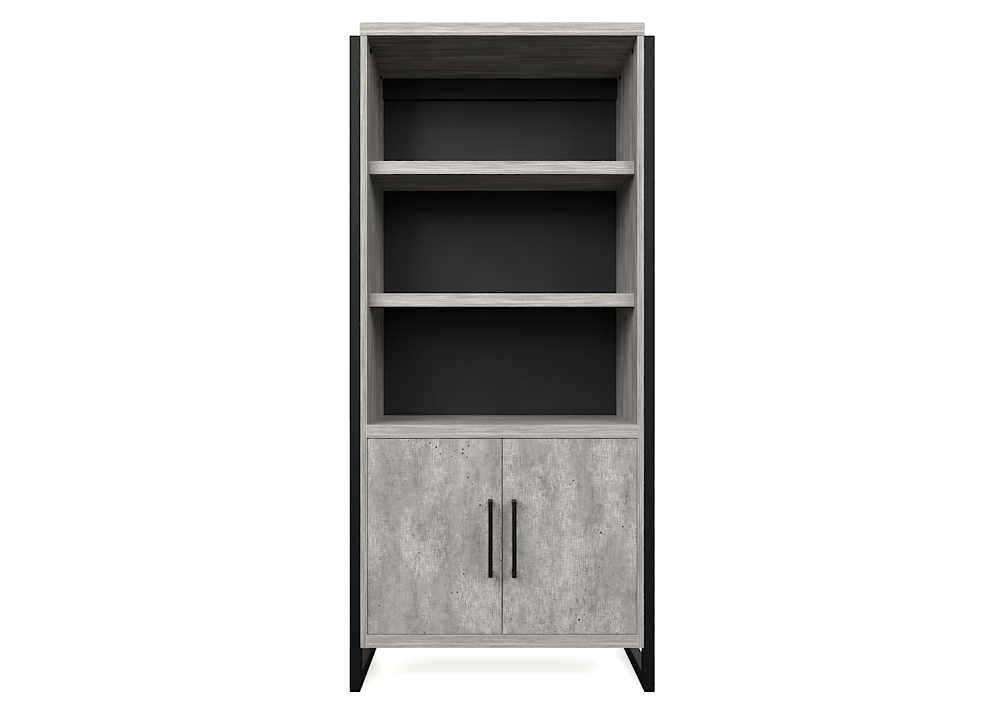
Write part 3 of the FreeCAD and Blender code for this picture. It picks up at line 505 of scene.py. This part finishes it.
# scuffed patches with ragged edges, stains, and joints of the shuttering
ragged = sum_of(tree, 0.5, [
    (1.0, streaks(tree, point, "Z", SCUFF)), (0.35, streaks(tree, point, "Z", SCUFF_CRUMBS))])
in_scuff = add(tree, "ShaderNodeMapRange", {"interpolation_type": "SMOOTHSTEP"}, {
    "Value": ragged, "From Min": SCUFF_EDGES[0], "From Max": SCUFF_EDGES[1]})["Result"]
scuff = sum_of(tree, SCUFF_STRENGTH, [(0.95, streak), (0.35, brush), (0.55, sand)])
tone = add(tree, "ShaderNodeMath", {"operation": "MULTIPLY_ADD"}, {
    "Value": in_scuff, "Value_001": scuff, "Value_002": tone})["Value"]
for size, start, end, strength in CONCRETE_MARKS:
    mark = add(tree, "ShaderNodeMapRange", {"interpolation_type": "SMOOTHSTEP"}, {
        "Value": streaks(tree, point, "Z", size), "From Min": start, "From Max": end,
        "To Max": strength})["Result"]
    tone = add(tree, "ShaderNodeMath", {"operation": "ADD"}, {"Value": tone, "Value_001": mark})["Value"]

# air holes, each with its own depth and a pale rim, and only inside the groups
holes = add(tree, "ShaderNodeTexVoronoi", {}, {"Vector": point, "Scale": 1 / (HOLE_SPACING * MM)})
chance = add(tree, "ShaderNodeSeparateColor", {}, {"Color": holes["Color"]})["Red"]
depth = add(tree, "ShaderNodeMapRange", {}, {
    "Value": chance, "To Min": HOLE_DEPTHS[0], "To Max": HOLE_DEPTHS[1]})["Result"]
in_group = add(tree, "ShaderNodeMapRange", {}, {
    "Value": streaks(tree, point, "Z", HOLE_GROUP), "From Min": HOLE_GROUP_EDGES[0],
    "From Max": HOLE_GROUP_EDGES[1]})["Result"]
depth = add(tree, "ShaderNodeMath", {"operation": "MULTIPLY"}, {
    "Value": in_group, "Value_001": depth})["Value"]
rim = add(tree, "ShaderNodeMapRange", {"interpolation_type": "SMOOTHSTEP"}, {
    "Value": holes["Distance"], "From Min": HOLE_RADIUS / HOLE_SPACING,
    "From Max": HOLE_RIM / HOLE_SPACING, "To Min": HOLE_RIM_STRENGTH, "To Max": 0.0})["Result"]
tone = add(tree, "ShaderNodeMath", {"operation": "MULTIPLY_ADD"}, {
    "Value": rim, "Value_001": depth, "Value_002": tone})["Value"]
hole = add(tree, "ShaderNodeMapRange", {"interpolation_type": "SMOOTHSTEP"}, {
    "Value": holes["Distance"], "From Min": HOLE_CORE * HOLE_RADIUS / HOLE_SPACING,
    "From Max": HOLE_RADIUS / HOLE_SPACING, "To Min": 1.0, "To Max": 0.0})["Result"]
hole = add(tree, "ShaderNodeMath", {"operation": "MULTIPLY"}, {"Value": hole, "Value_001": depth})["Value"]

# colours and relief
print_colour = add(tree, "ShaderNodeMix", {"data_type": "RGBA"}, {
    "Factor_Float": tone, "A_Color": linear(CONCRETE_DARK), "B_Color": linear(CONCRETE_LIGHT)})
colour = add(tree, "ShaderNodeMix", {"data_type": "RGBA"}, {
    "Factor_Float": hole, "A_Color": print_colour["Result_Color"],
    "B_Color": linear(CONCRETE_HOLE)})["Result_Color"]
height = add(tree, "ShaderNodeMath", {"operation": "SUBTRACT"}, {"Value": tone, "Value_001": hole})["Value"]
lay_finish(tree, colour, tone, CONCRETE_ROUGHNESS, RESIN, height, CONCRETE_RELIEF)
dress(concrete, "left_door", "right_door")


# ---- handles -------------------------------------------------------------------------------------
# Square bar handles in zinc die casting, screwed from inside the doors and coated with fine matt
# black powder, a smoother one than the frames'.
HANDLE_COAT = "#09090A"
HANDLE_COAT_RUBBED = "#111112"
HANDLE_ROUGHNESS = 0.5
HANDLE_RELIEF = (0.2, 0.05)
HANDLE_GRIT = 0.8               # mm, drawn coarser than real so that it shows

handle_coat, tree, point = new_material("matt_black_powder_coat")
grit = add(tree, "ShaderNodeTexNoise", {}, {"Vector": point, "Scale": 1 / (HANDLE_GRIT * MM)})["Fac"]
lay_two_tone(tree, grit, HANDLE_COAT, HANDLE_COAT_RUBBED, HANDLE_ROUGHNESS, POWDER_RESIN, grit,
             HANDLE_RELIEF)
dress(handle_coat, "left_handle", "right_handle")


# ---- studio --------------------------------------------------------------------------------------
# A plain pale floor under a plain pale backdrop, two softboxes in front at a little over the height
# of the case, one behind for its back, and soft air light that is bright above and dark below.
FLOOR_HALF_SIZE = 9.0
FLOOR_COLOUR = "#E6E5E3"
FLOOR_ROUGHNESS = (0.8, 0.95)
FLOOR_MOTTLE = 1000.0 / 3       # mm
FLOOR_IOR = 1.45
FLOOR_GLOW = 0.9                # a white sweep lit from below, so shadows on it stay faint
STUDIO_WHITE = "#FFFFFF"
BACKDROP_GLOW = 1.0
AIR_LOW = 0.02                  # strength of the air light from below and from above
AIR_HIGH = 0.78
AIR_LOW_HEIGHT = -0.3           # upward part of a direction where the air light begins to rise
AIR_HIGH_HEIGHT = 0.6
LAMP_AIM = Vector((0.0, 0.0, 1.0))
LAMPS = (                       # degrees to the right of the front, distance, height, width, watts
    ("right_front_softbox", 42.0, 4.0, 3.1, 2.6, 74.0),
    ("left_front_softbox", -38.0, 4.0, 3.1, 3.0, 134.0),
    ("back_softbox", 135.0, 4.2, 3.4, 2.4, 110.0))
CAMERA_PLACE = (-0.0425, -2.282, 0.917)
CAMERA_LENS = 28.07             # mm on a 36 mm wide sensor
CAMERA_SHIFT = (0.0134, -0.0004)
SHARPENING = 0.05

floor_paint, tree, point = new_material("pale_floor_paint")
mottle = add(tree, "ShaderNodeTexNoise", {}, {"Vector": point, "Scale": 1 / (FLOOR_MOTTLE * MM)})["Fac"]
lay_finish(tree, linear(FLOOR_COLOUR), mottle, FLOOR_ROUGHNESS, {
    "IOR": FLOOR_IOR, "Emission Color": linear(FLOOR_COLOUR), "Emission Strength": FLOOR_GLOW})
shape = bmesh.new()
bmesh.ops.create_grid(shape, x_segments=2, y_segments=2, size=FLOOR_HALF_SIZE)
floor = make_piece("floor", shape, floor_paint)
floor.visible_diffuse = False
floor.visible_glossy = False

scene = bpy.context.scene
scene.world = bpy.data.worlds.new("studio_air")
scene.world.use_nodes = True
tree = scene.world.node_tree
tree.nodes.clear()
direction = add(tree, "ShaderNodeTexCoord", {}, {})["Generated"]
upward = add(tree, "ShaderNodeSeparateXYZ", {}, {"Vector": direction})["Z"]
air = add(tree, "ShaderNodeMapRange", {"interpolation_type": "SMOOTHSTEP"}, {
    "Value": upward, "From Min": AIR_LOW_HEIGHT, "From Max": AIR_HIGH_HEIGHT,
    "To Min": AIR_LOW, "To Max": AIR_HIGH})["Result"]
lit_air = add(tree, "ShaderNodeBackground", {}, {"Color": linear(STUDIO_WHITE), "Strength": air})
backdrop = add(tree, "ShaderNodeBackground", {}, {
    "Color": linear(STUDIO_WHITE), "Strength": BACKDROP_GLOW})
seen = add(tree, "ShaderNodeLightPath", {}, {})["Is Camera Ray"]
shown = add(tree, "ShaderNodeMixShader", {}, {
    "Fac": seen, "Shader": lit_air["Background"], "Shader_001": backdrop["Background"]})
add(tree, "ShaderNodeOutputWorld", {}, {"Surface": shown["Shader"]})

for name, azimuth, distance, height, width, watts in LAMPS:
    lamp = bpy.data.lights.new(name, "AREA")
    lamp.size = width
    lamp.energy = watts
    turn = math.radians(azimuth)
    place = Vector((distance * math.sin(turn), -distance * math.cos(turn), height))
    holder = bpy.data.objects.new(name, lamp)
    holder.location = place
    holder.rotation_euler = (place - LAMP_AIM).to_track_quat("Z", "Y").to_euler()
    holder.visible_camera = False
    scene.collection.objects.link(holder)

lens = bpy.data.cameras.new("camera")
lens.lens = CAMERA_LENS
lens.shift_x, lens.shift_y = CAMERA_SHIFT
camera = bpy.data.objects.new("camera", lens)
camera.location = CAMERA_PLACE
camera.rotation_euler = (math.pi / 2, 0.0, 0.0)
scene.collection.objects.link(camera)
bpy.context.scene.camera = camera
scene.view_settings.view_transform = "Standard"

scene.use_nodes = True          # the camera's own mild sharpening
tree = scene.node_tree
tree.nodes.clear()
taken = add(tree, "CompositorNodeRLayers", {}, {})["Image"]
crisp = add(tree, "CompositorNodeFilter", {"filter_type": "SHARPEN"}, {"Fac": SHARPENING, "Image": taken})
add(tree, "CompositorNodeComposite", {}, {"Image": crisp["Image"]})
